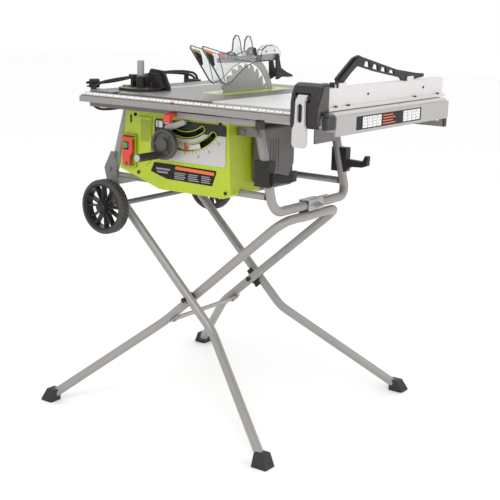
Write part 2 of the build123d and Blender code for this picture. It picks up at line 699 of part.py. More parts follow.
def miter_knob():
    """Clamp knob of the miter gauge and its stud."""
    knob = Pos(-252.5, -190, 987) * Cylinder(10, 44)
    knob = fillet(knob.edges(), 3)
    return knob + rod((-252.5, -190, 917), (-252.5, -190, 966), 4)


# ---------------------------------------------------------------- stand

LEFT_TOP, LEFT_LOW = (-294, 890), (-362, 650)
RIGHT_TOP, RIGHT_LOW = (156, 868), (LATCH_X, LATCH_Z)


def u_tube(top, low):
    """U-shaped frame tube that hangs below the table."""
    points = [(top[0], -FRAME_Y, top[1]), (low[0], -FRAME_Y, low[1]), (low[0], FRAME_Y, low[1]),
              (top[0], FRAME_Y, top[1])]
    return bent_tube(points, 38)


def frame_bars():
    """Two bars between the U tubes, below the body."""
    return [pipe((-341, side * FRAME_Y, 672), (189, side * FRAME_Y, 672), 10) for side in (-1, 1)]


def frame_brackets():
    """Sockets under the table on the left, and plates between body and right U tube."""
    pieces = []
    for side in (-1, 1):
        y = side * FRAME_Y
        socket = block(-314, -274, y - 16, y + 16, 868, TABLE_TOP - SKIN)
        pieces.append(socket - rod((-294, y, 890), (-362, y, 650), TUBE_R + 0.02))
        outer = side * (FRAME_Y + TUBE_R)
        y0, y1 = sorted((outer, outer + side * 4))
        face = outline([(100, 831), (100, 854), (172, 854), (178, 831)])
        if side > 0:
            face += outline([(58, 914.9), (76.9, 914.9), (76.9, 879.5), (101, 854), (101, 831), (70, 850)])
        pieces.append(across(face, y0, y1))
    plate = block(189, 193, 40, 176, 792, 850)
    plate += block(181, 192.5, 160, 176, 800, 840)
    pieces.append(plate - rod((156, 189, 868), (214, 189, 630), TUBE_R + 0.02))
    return pieces


def wheel_brackets():
    """Plates that hold the axle below the left U tube."""
    face = outline([(-378, 692), (-352, 742), (-330, 742), (-332, 690), (-310, 600), (-318, 572), (-342, 572),
                    (-352, 600)])
    plates = []
    for side in (-1, 1):
        y0, y1 = sorted((side * (FRAME_Y + TUBE_R), side * (FRAME_Y + TUBE_R + 4)))
        plate = across(face, y0, y1)
        plates.append(plate - rod((AXLE_X, -300, AXLE_Z), (AXLE_X, 300, AXLE_Z), AXLE_R))
    return plates


def wheel_axle():
    """Axle of the wheels and of the outer legs, with its end caps."""
    axle = rod((AXLE_X, -274, AXLE_Z), (AXLE_X, 274, AXLE_Z), AXLE_R)
    for side in (-1, 1):
        axle += rod((AXLE_X, side * 272, AXLE_Z), (AXLE_X, side * 277, AXLE_Z), 12)
    return axle


def wheel_hub(y):
    """Moulded wheel centre with six V-shaped pairs of spokes, a rim and a thin dished web."""
    hub = rod((0, -15, 0), (0, 15, 0), 16)
    hub += rod((0, -14, 0), (0, 14, 0), RIM_R) - rod((0, -15, 0), (0, 15, 0), RIM_R - 6)
    hub += rod((0, -5, 0), (0, 5, 0), 27)
    for turn in range(6):
        for way in (-1, 1):
            spoke = Pos(14, 0, 3 * way) * Rot(0, -13 * way, 0) * Pos(25, 0, 0) * Box(51, 20, 3.6)
            hub += Rot(0, 60 * turn + 12, 0) * spoke
    hub -= rod((0, -20, 0), (0, 20, 0), AXLE_R + FIT)
    return Pos(AXLE_X, y, AXLE_Z) * hub


def wheel_tyre(y):
    """Tyre with tread blocks."""
    tyre = rod((0, -WHEEL_W / 2, 0), (0, WHEEL_W / 2, 0), WHEEL_R)
    tyre = fillet(tyre.edges(), 7)
    tyre -= rod((0, -20, 0), (0, 20, 0), RIM_R)
    for turn in range(36):
        for half in (-1, 1):
            tyre -= Rot(0, 10 * turn + 2.5 * half, 0) * Pos(WHEEL_R, 5 * half, 0) * Box(5, 8, 4)
    return Pos(AXLE_X, y, AXLE_Z) * tyre


def storage_hooks():
    """Accessory hooks on the arms of the right U tube."""
    hooks = []
    for y, shift in ((-FRAME_Y, 0), (FRAME_Y, 6)):
        side = -1 if y < 0 else 1
        clip = block(160 + shift, 208 + shift, y - 17, y + 17, 700, 770)
        clip -= rod((156, y, 868), (214, y, 630), TUBE_R + 0.02)
        clip = clip - block(140, 260, y - side * 17 - 8, y - side * 17 + 8, 690, 780)
        edge = [(195, 700), (195, 728), (215, 737), (262, 735), (270, 752), (280, 752), (278, 724), (262, 718),
                (222, 716), (207, 700)]
        arm = across(outline(edge), y - 8, y + 8)
        hooks.append(clip + (Pos(shift, 0, 0) * arm) - rod((156, y, 868), (214, y, 630), TUBE_R + 0.02))
    return hooks


def frame_bolts():
    """Heads of the bolts through the frame plates."""
    bolts = []
    for side in (-1, 1):
        y = side * (FRAME_Y + TUBE_R + 4)
        for x, z in ((-322 - 18, 730), (-356, 690), (164, 843), (120, 843)):
            y0, y1 = sorted((y, y + side * 4))
            bolts.append(across(Pos(x, z) * RegularPolygon(7, 6), y0, y1))
    for x in (-214, 92):
        bolts.append(across(disc(x, 676 if x > 0 else 700, 5), FRONT_Y - 3, FRONT_Y))
    return bolts


def leg_pair_points(side, lane, start, bend, foot_x):
    """Centre line of one leg: straight down to its bend, then splayed out to its foot."""
    return [(start[0], side * lane, start[1]), (bend[0], side * lane, bend[1]), (foot_x, side * FOOT_Y, 12)]


OUTER_BEND = (8, 258)
INNER_BEND = (-190, 243)
BOLT_R = 5.0


def outer_leg(side):
    """Leg from the axle to the right foot."""
    start = (AXLE_X - 9, AXLE_Z + 9.3)
    leg = bent_tube(leg_pair_points(side, OUTER_Y, start, OUTER_BEND, OUTER_FOOT_X), 90)
    lower = leg - rod((AXLE_X, -300, AXLE_Z), (AXLE_X, 300, AXLE_Z), AXLE_R + FIT)
    return lower - rod((CROSS_X, -300, CROSS_Z), (CROSS_X, 300, CROSS_Z), BOLT_R)


def inner_legs():
    """One bent U: two legs joined by the cross tube that the latch holds."""
    right = leg_pair_points(1, INNER_Y, (216, 600), INNER_BEND, INNER_FOOT_X)
    left = leg_pair_points(-1, INNER_Y, (216, 600), INNER_BEND, INNER_FOOT_X)
    path = FilletPolyline(*(left[::-1] + right), radius=[90, 45, 45, 90])
    ring = Circle(TUBE_R) - Circle(TUBE_R - TUBE_WALL)
    legs = sweep(Plane(origin=path @ 0, z_dir=path % 0) * ring, path=path)
    return legs - rod((CROSS_X, -300, CROSS_Z), (CROSS_X, 300, CROSS_Z), BOLT_R + FIT)


def foot(side, lane, bend, foot_x):
    """Rubber foot moulded round the end of a leg."""
    y = side * FOOT_Y
    base = Plane.XY * Pos(foot_x, y) * Rectangle(46 if foot_x > 0 else 40, 40)
    top = Plane.XY.offset(36) * Pos(foot_x - (8 if foot_x > 0 else -8), y - side * 7) * Rectangle(32, 30)
    reach = 23 if foot_x > 0 else 20
    pad = block(foot_x - reach, foot_x + reach, y - 20, y + 20, 0, 5)
    shoe = loft([Pos(0, 0, 5) * base, top]) + pad
    return shoe - rod((foot_x, y, 12), (bend[0], side * lane, bend[1]), TUBE_R)


def stop_plates():
    """Plates between the crossing legs that limit the opening."""
    face = disc(CROSS_X, CROSS_Z, 20) + outline([(-112, 352), (-96, 366), (-60, 318), (-76, 304)])
    plates = []
    for side in (-1, 1):
        y0, y1 = sorted((side * 160.3, side * 162.7))
        plates.append(across(face - disc(CROSS_X, CROSS_Z, BOLT_R), y0, y1))
    return plates


def pivot_bolts():
    """Bolts through the crossing legs."""
    bolts = []
    for side in (-1, 1):
        bolt = rod((CROSS_X, side * 129, CROSS_Z), (CROSS_X, side * 193, CROSS_Z), BOLT_R)
        for inner, outer in ((129, 133.6), (189.2, 194)):
            y0, y1 = sorted((side * inner, side * outer))
            bolt += across(Pos(CROSS_X, CROSS_Z) * RegularPolygon(8, 6), y0, y1)
        bolts.append(bolt)
    return bolts


BRACE = (-158.0, 271.0)
LEG_SLOPE = (0.749, 0.663)


def brace_frame(shift_along, shift_out):
    """A place beside the inner leg: along its run, then out from its underside."""
    x = BRACE[0] + shift_along * LEG_SLOPE[0] + shift_out * LEG_SLOPE[1]
    return (x, BRACE[1] + shift_along * LEG_SLOPE[1] - shift_out * LEG_SLOPE[0])


def leg_brace():
    """Flat bar that ties the inner legs below the crossing."""
    corners = [brace_frame(-17, TUBE_R), brace_frame(17, TUBE_R), brace_frame(17, TUBE_R + 4),
               brace_frame(-17, TUBE_R + 4)]
    return across(outline(corners), -158, 158)


def brace_bolts():
    """Two bolt heads at each end of the brace."""
    bolts = []
    for y in (-INNER_Y, INNER_Y):
        for shift in (-9, 9):
            inner = brace_frame(shift, TUBE_R + 4)
            outer = brace_frame(shift, TUBE_R + 8)
            bolts.append(rod((inner[0], y, inner[1]), (outer[0], y, outer[1]), 6))
    return bolts


def latch_pedal():
    """Stamped saddle on the lower run of the right U tube, hooked under the inner cross tube."""
    face = rect(-16.4, 16.4, -14, 16.4) - rect(-14, 14, -20, 14)
    face += rect(-16.4, -14, -48.4, 16) + rect(-16.4, -6, -48.4, -46)
    saddle = across(Pos(LATCH_X, LATCH_Z) * face, -38, 38)
    tab = across(Pos(LATCH_X, LATCH_Z) * outline([(12, 14.2), (12, 16.6), (34, 30), (36, 28)]), -30, 30)
    saddle += tab
    saddle += across(Pos(LATCH_X, LATCH_Z) * outline([(14, 0), (14, 10), (33, -1), (32, -5)]), -14, 14)
    return saddle


# ---------------------------------------------------------------- cord

CORD = [(-285, 150, 760), (-318, 150, 760), (-352, 160, 800), (-372, 188, 856), (-373, 232, 902),
        (-372, 224, 946), (-370, 166, 957), (-369, 60, 960), (-369, -70, 952), (-370, -180, 947),
        (-372, -246, 938), (-374, -272, 903), (-376, -248, 868), (-377, -190, 859), (-378, -80, 864),
        (-379, 50, 860), (-380, 150, 863), (-381, 214, 868), (-382, 244, 902), (-383, 222, 940),
        (-384, 166, 949), (-384, 60, 956), (-384, -60, 950), (-386, -158, 938), (-386, -215, 938)]
CORD_TIP = CORD[-1]


def cord_radii():
    """Bend radius at each inner point of the cord."""
    radii = []
    for before, here, after in zip(CORD, CORD[1:], CORD[2:]):
        into = Vector(*here) - Vector(*before)
        out = Vector(*after) - Vector(*here)
        turn = radians(into.get_angle(out))
        radii.append(0.45 * min(into.length, out.length) / tan(turn / 2))
    return radii


def power_cord():
    """Mains cord wrapped on the two cord hooks."""
    path = FilletPolyline(*CORD, radius=cord_radii())
    return sweep(Plane(origin=path @ 0, z_dir=path % 0) * Circle(CORD_R), path=path)


def cord_plug():
    """Plug with its two blades and earth pin."""
    x, y, z = CORD_TIP
    body = block(x - 11, x + 11, y - 34, y - 12, z - 13, z + 13)
    body = fillet(body.edges().filter_by(Axis.Y), 6)
    boot = [Plane.XZ.offset(-y) * Pos(x, z) * Circle(5), Plane.XZ.offset(12 - y) * Pos(x, z) * Circle(9)]
    body += loft(boot)
    for side in (-1, 1):
        body += block(x + side * 6 - 0.8, x + side * 6 + 0.8, y - 50, y - 33, z - 1, z + 6)
    return body + rod((x, y - 33, z - 7), (x, y - 52, z - 7), 2.4)


def strain_relief():
    """Gland where the cord leaves the body."""
    gland = rod((-274, 150, 760), (-285, 150, 760), 6.5) + rod((-268, 150, 760), (-274.5, 150, 760), 8.9)
    return gland


def cord_hooks():
    """Two hooks on the left edge of the table."""
    hooks = []
    for y, top in ((205, 930), (-226, 922)):
        arm = block(-399, TABLE_X0, y - 10, y + 10, top - 9, top)
        flange = block(-402, -398, y - 10, y + 10, top - 22, top + 22)
        leg = block(-353, TABLE_X0, y - 10, y + 10, 884, top - 4)
        hooks.append(arm + flange + leg)
    return hooks


# ---------------------------------------------------------------- export

save("main_table", main_table())
save("throat_plate", throat_plate())
save("extension_table", extension_table())
save("slide_tubes", *slide_tubes())
save("side_skirt", side_skirt())
save("front_rail", front_rail() - ruler_strip())
save("ruler_strip", ruler_strip())
save("rear_rail", rear_rail(), *rail_ends())
save("lower_guide_rail", *lower_guide_rail())
save("rail_lock_lever", rail_lock_lever())
save("front_housing", front_housing(), *slot_trims())
save("rear_housing", rear_housing())
save("side_cover", side_cover())
save("control_panel", control_panel())
save("switch_bezel", switch_bezel())
save("switch_paddle", switch_paddle())
save("start_button", start_button())
save("trunnions", trunnion(-215, -205), trunnion(225, 235))
save("bevel_carriage", bevel_carriage(), *lift_posts())
save("bevel_pointer", bevel_pointer())
save("lift_screw", lift_screw())
save("gear_case", lift_bracket() + gear_case())
save("arbor", arbor(), arbor_gear(), *flange_and_nut())
save("saw_blade", saw_blade())
save("blade_shroud", blade_shroud())
save("riving_knife", riving_knife())
save("motor_housing", motor_housing())
save("armature", armature(), motor_pinion())
save("bevel_lock_lever", bevel_lock_lever())
save("handwheel", handwheel())
save("crank_grip", crank_grip() + grip_cap())
save("guard_arm", guard_arm())
save("guard_knob", guard_knob())
save("left_barrier", barrier(-1))
save("right_barrier", barrier(1))
save("anti_kickback_pawls", anti_kickback_pawls())
save("fence_beam", fence_beam())
save("fence_head", fence_head() + fence_pin(), fence_side_plate(), *fence_knobs())
save("fence_lever", fence_lever())
save("push_stick", push_stick())
save("miter_bar", miter_bar())
save("miter_head", miter_head(), miter_pointer())
save("miter_knob", miter_knob())
save("u_tubes", u_tube(LEFT_TOP, LEFT_LOW), u_tube(RIGHT_TOP, RIGHT_LOW), *frame_bars())
save("frame_brackets", *frame_brackets(), *wheel_brackets(), wheel_axle(), *frame_bolts())
for name, y in (("front", -WHEEL_Y), ("rear", WHEEL_Y)):
    save(f"{name}_wheel_hub", wheel_hub(y))
    save(f"{name}_wheel_tyre", wheel_tyre(y))
save("storage_hooks", *storage_hooks())
save("outer_legs", outer_leg(-1), outer_leg(1))
save("inner_legs", inner_legs())
save("outer_feet", *[foot(side, OUTER_Y, OUTER_BEND, OUTER_FOOT_X) for side in (-1, 1)])
save("inner_feet", *[foot(side, INNER_Y, INNER_BEND, INNER_FOOT_X) for side in (-1, 1)])
save("pivot_bolts", *pivot_bolts(), *stop_plates())
save("leg_brace", leg_brace(), *brace_bolts())
save("latch_pedal", latch_pedal())
save("power_cord", power_cord())
save("cord_plug", cord_plug())
save("cord_hooks_and_gland", *cord_hooks(), strain_relief())
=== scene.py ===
import bmesh
import bpy
from math import cos, pi, radians, sin
from mathutils import Matrix, Vector


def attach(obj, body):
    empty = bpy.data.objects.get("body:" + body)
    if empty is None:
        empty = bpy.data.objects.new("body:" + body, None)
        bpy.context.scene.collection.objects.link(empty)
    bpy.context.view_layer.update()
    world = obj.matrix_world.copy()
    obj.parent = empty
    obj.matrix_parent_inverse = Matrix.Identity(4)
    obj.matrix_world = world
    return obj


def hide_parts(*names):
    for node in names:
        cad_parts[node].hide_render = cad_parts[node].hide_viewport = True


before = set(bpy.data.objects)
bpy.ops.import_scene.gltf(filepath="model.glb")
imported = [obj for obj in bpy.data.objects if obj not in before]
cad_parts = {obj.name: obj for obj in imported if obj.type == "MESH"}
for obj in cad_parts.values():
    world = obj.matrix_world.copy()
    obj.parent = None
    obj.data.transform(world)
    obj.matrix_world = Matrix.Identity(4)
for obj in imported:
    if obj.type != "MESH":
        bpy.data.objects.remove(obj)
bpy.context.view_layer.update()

MM = 0.001
INCH = 0.0254
SMALL_ANGLE = radians(32)

# metres: the bevel pivot in X and Z, and the middle of the blade in Y and Z
PIVOT_X, PIVOT_Z = -0.048, 0.922
BLADE_Y, BLADE_Z = 0.028, 0.877

# mm: Y of the faces at the front, and X of the faces at the right
PLATE_FACE, BODY_FACE, DATA_PLATE_FACE = -242.5, -240, -241.2
SKIRT_FACE, STRIP_FACE, CELL_FACE = 462.0, 462.25, 462.35

# mm: the middle of each barrier from the blade, half its thickness, and the middle of the miter plate
BARRIER_SIDE, BARRIER_HALF = 20.5, 1.5
MITER_X, MITER_Y = -252.5, -190

SENSOR_WIDTH = 36
SHIFT_X, SHIFT_Y = 0.0296, 0.0024
CORD_RADIUS = 0.0038
CORD_POINT_RADIUS = 0.01


# ------------------------------------------------------------------ camera and cord

def add_camera(azimuth, elevation, roll, target, distance, lens):
    """A camera that looks at the target from the given angles, in degrees."""
    a, e, r = radians(azimuth), radians(elevation), radians(roll)
    back = Vector((sin(a) * cos(e), -cos(a) * cos(e), sin(e)))
    right = Vector((0, 0, 1)).cross(back).normalized()
    up = back.cross(right)
    right, up = right * cos(r) + up * sin(r), up * cos(r) - right * sin(r)
    data = bpy.data.cameras.new("camera")
    data.lens = lens
    data.sensor_width = SENSOR_WIDTH
    data.shift_x = SHIFT_X
    data.shift_y = SHIFT_Y
    data.clip_end = 50
    camera = bpy.data.objects.new("camera", data)
    place = Matrix((right, up, back)).transposed().to_4x4()
    place.translation = Vector(target) + back * distance
    camera.matrix_world = place
    bpy.context.scene.collection.objects.link(camera)
    bpy.context.scene.camera = camera


add_camera(35.66, 13.15, 1.404, (-0.044, 0.0, 0.4536), 3.3018, 80.06)

CORD = [(-285, 150, 760), (-318, 150, 760), (-352, 160, 800), (-372, 188, 856), (-373, 232, 902),
        (-372, 224, 946), (-370, 166, 957), (-369, 60, 960), (-369, -70, 952), (-370, -180, 947),
        (-372, -246, 938), (-374, -272, 903), (-376, -248, 868), (-377, -190, 859), (-378, -80, 864),
        (-379, 50, 860), (-380, 150, 863), (-381, 214, 868), (-382, 244, 902), (-383, 222, 940),
        (-384, 166, 949), (-384, 60, 956), (-384, -60, 950), (-386, -158, 938), (-386, -215, 938)]


def add_cord():
    """The mains cord as one smooth curve that follows the corners of the CAD route."""
    curve = bpy.data.curves.new("mains_cord", "CURVE")
    curve.dimensions = "3D"
    curve.bevel_depth = CORD_RADIUS / CORD_POINT_RADIUS
    curve.bevel_resolution = 5
    curve.resolution_u = 12
    curve.use_fill_caps = True
    spline = curve.splines.new("NURBS")
    spline.points.add(len(CORD) - 1)
    for point, place in zip(spline.points, CORD):
        point.co = (place[0] * MM, place[1] * MM, place[2] * MM, 1)
        point.radius = CORD_POINT_RADIUS
    spline.order_u = 3
    spline.use_endpoint_u = True
    cord = bpy.data.objects.new("mains_cord", curve)
    bpy.context.scene.collection.objects.link(cord)
    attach(cord, "base")
    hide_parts("power_cord")
    return cord


CORD_OBJECT = add_cord()


# ------------------------------------------------------------------ materials

class Tree:
    """Short way to build a node material."""

    def __init__(self, name):
        self.material = bpy.data.materials.new(name)
        self.material.use_nodes = True
        self.nodes = self.material.node_tree.nodes
        self.links = self.material.node_tree.links
        self.shader = self.nodes["Principled BSDF"]
        self.place = self.nodes.new("ShaderNodeTexCoord").outputs["Object"]

    def wire(self, source, target):
        """Connect an output, or set a plain value."""
        if isinstance(source, bpy.types.NodeSocket):
            self.links.new(source, target)
        else:
            target.default_value = source

    def math(self, kind, a, b=0.0):
        """The result of one operation on one or two values."""
        node = self.nodes.new("ShaderNodeMath")
        node.operation = kind
        for value, socket in zip((a, b), node.inputs):
            self.wire(value, socket)
        return node.outputs[0]

    def between(self, value, low, high):
        """1 where the value lies between two limits, and 0 elsewhere."""
        above = self.math("GREATER_THAN", value, low)
        return self.math("MULTIPLY", above, self.math("LESS_THAN", value, high))

    def reach(self, a, b, centre):
        """Distance of (a, b) from a centre."""
        da, db = self.math("SUBTRACT", a, centre[0]), self.math("SUBTRACT", b, centre[1])
        squares = self.math("ADD", self.math("MULTIPLY", da, da), self.math("MULTIPLY", db, db))
        return self.math("SQRT", squares)

    def noise(self, scale, stretch=(1, 1, 1), detail=3.0, rough=0.55):
        """Noise from 0 to 1 in metres; stretch scales each axis."""
        mapping = self.nodes.new("ShaderNodeMapping")
        self.links.new(self.place, mapping.inputs["Vector"])
        mapping.inputs["Scale"].default_value = stretch
        node = self.nodes.new("ShaderNodeTexNoise")
        self.links.new(mapping.outputs["Vector"], node.inputs["Vector"])
        node.inputs["Scale"].default_value = scale
        node.inputs["Detail"].default_value = detail
        node.inputs["Roughness"].default_value = rough
        return node.outputs["Fac"]

    def ramp(self, value, low, high, out_low=0.0, out_high=1.0):
        """The value moved from one range to another and held inside it."""
        node = self.nodes.new("ShaderNodeMapRange")
        for source, socket in zip((value, low, high, out_low, out_high), node.inputs):
            self.wire(source, socket)
        return node.outputs["Result"]

    def mix(self, fac, a, b):
        """Blend of two colours."""
        node = self.nodes.new("ShaderNodeMix")
        node.data_type = "RGBA"
        self.wire(fac, node.inputs["Factor"])
        self.wire(a if isinstance(a, bpy.types.NodeSocket) else (*a, 1), node.inputs["A"])
        self.wire(b if isinstance(b, bpy.types.NodeSocket) else (*b, 1), node.inputs["B"])
        return node.outputs["Result"]

    def axes(self):
        """The place's X, Y and Z."""
        node = self.nodes.new("ShaderNodeSeparateXYZ")
        self.links.new(self.place, node.inputs[0])
        return node.outputs[0], node.outputs[1], node.outputs[2]

    def bump(self, height, distance, strength, rounding=None):
        """Bump from a height, over edges rounded by a small radius."""
        node = self.nodes.new("ShaderNodeBump")
        node.inputs["Strength"].default_value = strength
        node.inputs["Distance"].default_value = distance
        self.links.new(height, node.inputs["Height"])
        if rounding:
            bevel = self.nodes.new("ShaderNodeBevel")
            bevel.samples = 4
            bevel.inputs["Radius"].default_value = rounding
            self.links.new(bevel.outputs["Normal"], node.inputs["Normal"])
        self.links.new(node.outputs["Normal"], self.shader.inputs["Normal"])

    def edges(self, radius):
        """1 along sharp edges and 0 on open faces."""
        bevel = self.nodes.new("ShaderNodeBevel")
        bevel.samples = 4
        bevel.inputs["Radius"].default_value = radius
        geometry = self.nodes.new("ShaderNodeNewGeometry")
        dot = self.nodes.new("ShaderNodeVectorMath")
        dot.operation = "DOT_PRODUCT"
        self.links.new(bevel.outputs["Normal"], dot.inputs[0])
        self.links.new(geometry.outputs["Normal"], dot.inputs[1])
        return self.ramp(dot.outputs["Value"], 0.995, 0.93)


def shade(value, factor):
    """A colour made lighter or darker."""
    return tuple(min(1.0, channel * factor) for channel in value)


def finish(name, colour, rough, metal=0.0, spread=0.12, grain=(900, (1, 1, 1)), depth=0.00015, strength=0.25,
           worn=None, rounding=0.0008, coat=0.0, paint=None, gloss_level=0.5):
    """A surface with blotches, fine grain, uneven gloss and lighter worn edges."""
    tree = Tree(name)
    base = tree.mix(tree.noise(9), shade(colour, 1 - spread), shade(colour, 1 + spread * 0.6))
    blotches = tree.ramp(tree.noise(70, detail=6), 0.35, 0.75, 0, 0.35)
    base = tree.mix(blotches, base, shade(colour, 1 - spread * 1.5))
    if paint:
        base = paint(tree, base)
    if worn:
        patches = tree.ramp(tree.noise(140, detail=5), 0.42, 0.62)
        mask = tree.math("MULTIPLY", tree.edges(rounding * 1.6), patches)
        base = tree.mix(tree.math("MULTIPLY", mask, 0.6), base, worn)
    tree.wire(base, tree.shader.inputs["Base Color"])
    fine = tree.noise(grain[0], grain[1], 4)
    gloss = tree.math("ADD", tree.math("MULTIPLY", tree.noise(25, detail=5), 0.16), rough - 0.08)
    gloss = tree.math("ADD", gloss, tree.math("MULTIPLY", tree.math("SUBTRACT", fine, 0.5), 0.14))
    tree.wire(gloss, tree.shader.inputs["Roughness"])
    tree.shader.inputs["Metallic"].default_value = metal
    tree.shader.inputs["Specular IOR Level"].default_value = gloss_level
    if coat:
        tree.shader.inputs["Coat Weight"].default_value = coat
        tree.shader.inputs["Coat Roughness"].default_value = 0.18
    tree.bump(fine, depth, strength, rounding)
    return tree.material


DARK = (0.02, 0.02, 0.02)


def inches(tree, base):
    """Ruler print: a white band cut by a gap each inch, with short marks and the place of each figure."""
    x, y, _ = tree.axes()
    front, tick_back, back = -0.3292, -0.3265, -0.3212
    inch = tree.math("FRACT", tree.math("DIVIDE", tree.math("ADD", x, 1.0), INCH))
    eighth = tree.math("FRACT", tree.math("MULTIPLY", inch, 8))
    cell = tree.math("MULTIPLY", tree.between(y, front, back), tree.math("GREATER_THAN", inch, 0.22))
    tick = tree.math("MULTIPLY", tree.math("LESS_THAN", eighth, 0.22), tree.math("LESS_THAN", y, tick_back))
    speckle = tree.ramp(tree.noise(520, detail=0), 0.47, 0.5)
    figure = tree.math("MULTIPLY", tree.between(inch, 0.5, 0.68), speckle)
    print_mask = tree.math("SUBTRACT", cell, tree.math("MAXIMUM", tick, figure))
    return tree.mix(tree.math("MAXIMUM", print_mask, 0.0), base, (0.82, 0.82, 0.80))


def rail_ends(tree, base):
    """Dark plastic ends of the rails."""
    x, y, z = tree.axes()
    guide_end, rail_underside, cap_start = 0.243, 0.8955, 0.4452
    below = tree.math("LESS_THAN", z, rail_underside)
    low = tree.math("MULTIPLY", tree.math("GREATER_THAN", x, guide_end), below)
    low = tree.math("MULTIPLY", low, tree.math("LESS_THAN", y, 0.0))
    cap = tree.math("GREATER_THAN", x, cap_start)
    return tree.mix(tree.math("MAXIMUM", low, cap), base, (0.03, 0.028, 0.027))


def grip_end(tree, base):
    """Light grey cap on the front end of the crank grip."""
    y, cap_back = tree.axes()[1], -0.3722
    return tree.mix(tree.math("LESS_THAN", y, cap_back), base, (0.40, 0.40, 0.40))


def dark_bolts(tree, base):
    """Black heads of the bolts on the front of the body."""
    _, y, z = tree.axes()
    head_back, lowest_head = -0.2399, 0.66
    high = tree.math("GREATER_THAN", z, lowest_head)
    head = tree.math("MULTIPLY", tree.math("LESS_THAN", y, head_back), high)
    return tree.mix(head, base, DARK)


def head_side(tree, base):
    """Lighter grey side plate of the fence head."""
    x, plate_start = tree.axes()[0], 0.4381
    return tree.mix(tree.math("GREATER_THAN", x, plate_start), base, (0.075, 0.069, 0.067))


def switch_window(tree, base):
    """Dark switch plate in the middle of the recess."""
    x, _, z = tree.axes()
    mask = tree.math("MULTIPLY", tree.between(z, 0.7585, 0.7885), tree.between(x, -0.2615, -0.2365))
    return tree.mix(mask, base, DARK)


def panel_print(tree, base):
    """Black upper field of the instrument plate, above and inside the bevel scale."""
    x, _, z = tree.axes()
    field_bottom, scale_radius, corner_right, corner_bottom = 0.828, 0.113, -0.10, 0.80
    band = tree.math("GREATER_THAN", z, field_bottom)
    inside = tree.math("LESS_THAN", tree.reach(x, z, (PIVOT_X, PIVOT_Z)), scale_radius)
    left = tree.math("LESS_THAN", x, corner_right)
    corner = tree.math("MULTIPLY", left, tree.math("GREATER_THAN", z, corner_bottom))
    black = tree.math("MAXIMUM", tree.math("MAXIMUM", band, inside), corner)
    return tree.mix(black, base, (0.012, 0.012, 0.012))


def blade_rings(tree, base):
    """Fine ground rings on the blade."""
    _, y, z = tree.axes()
    rings_per_metre = 900
    rings = tree.math("FRACT", tree.math("MULTIPLY", tree.reach(y, z, (BLADE_Y, BLADE_Z)), rings_per_metre))
    return tree.mix(tree.math("MULTIPLY", rings, 0.35), base, (0.28, 0.28, 0.29))


ACRYLIC_IOR = 1.49


def clear_plastic(name, colour, transmission):
    """Clear guard plastic with faint scratches and darker cut edges."""
    tree = Tree(name)
    edge = tree.edges(0.003)
    tree.wire(tree.mix(edge, colour, (0.025, 0.025, 0.025)), tree.shader.inputs["Base Color"])
    tree.shader.inputs["Transmission Weight"].default_value = transmission
    tree.shader.inputs["IOR"].default_value = ACRYLIC_IOR
    scratch = tree.noise(260, (1, 12, 1), 6, 0.7)
    tree.wire(tree.ramp(scratch, 0.3, 0.8, 0.02, 0.16), tree.shader.inputs["Roughness"])
    tree.bump(scratch, 0.00005, 0.15, 0.0012)
    return tree.material


